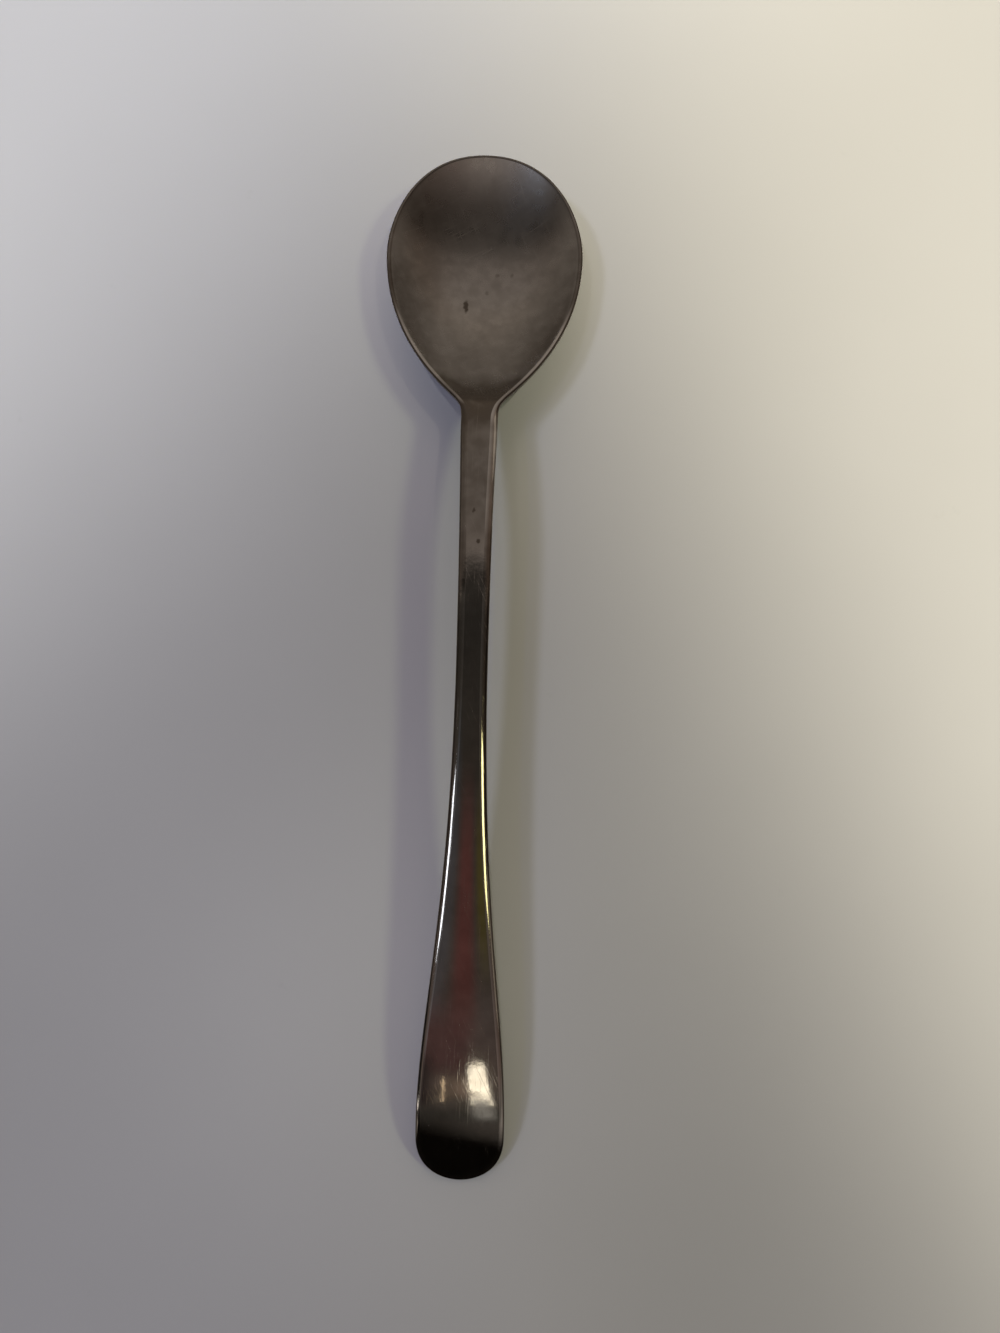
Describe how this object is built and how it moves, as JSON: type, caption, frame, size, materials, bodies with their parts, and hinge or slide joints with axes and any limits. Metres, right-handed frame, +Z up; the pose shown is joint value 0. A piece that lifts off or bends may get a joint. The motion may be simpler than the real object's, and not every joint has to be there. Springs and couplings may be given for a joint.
{
  "type": "spoon",
  "caption": "Silver-plated spoon with a shallow egg-shaped bowl, a slim stem with bevelled edges and a handle that spreads to a rounded, turned-down end.",
  "frame": {"origin": "on the table plane that the spoon rests on, under the middle of its length and width", "axes": "+Z up, out of the bowl; +Y along the spoon from the handle end to the bowl tip; X across, the spoon being the same on both sides"},
  "size_m": [0.0282, 0.15, 0.0121],
  "materials": {
    "nickel_silver": "satin",
    "worn_silver": "gloss"
  },
  "bodies": {
    "root": {"base_metal_blank": "nickel_silver", "silver_plate": "worn_silver"}
  },
  "joints": []
}
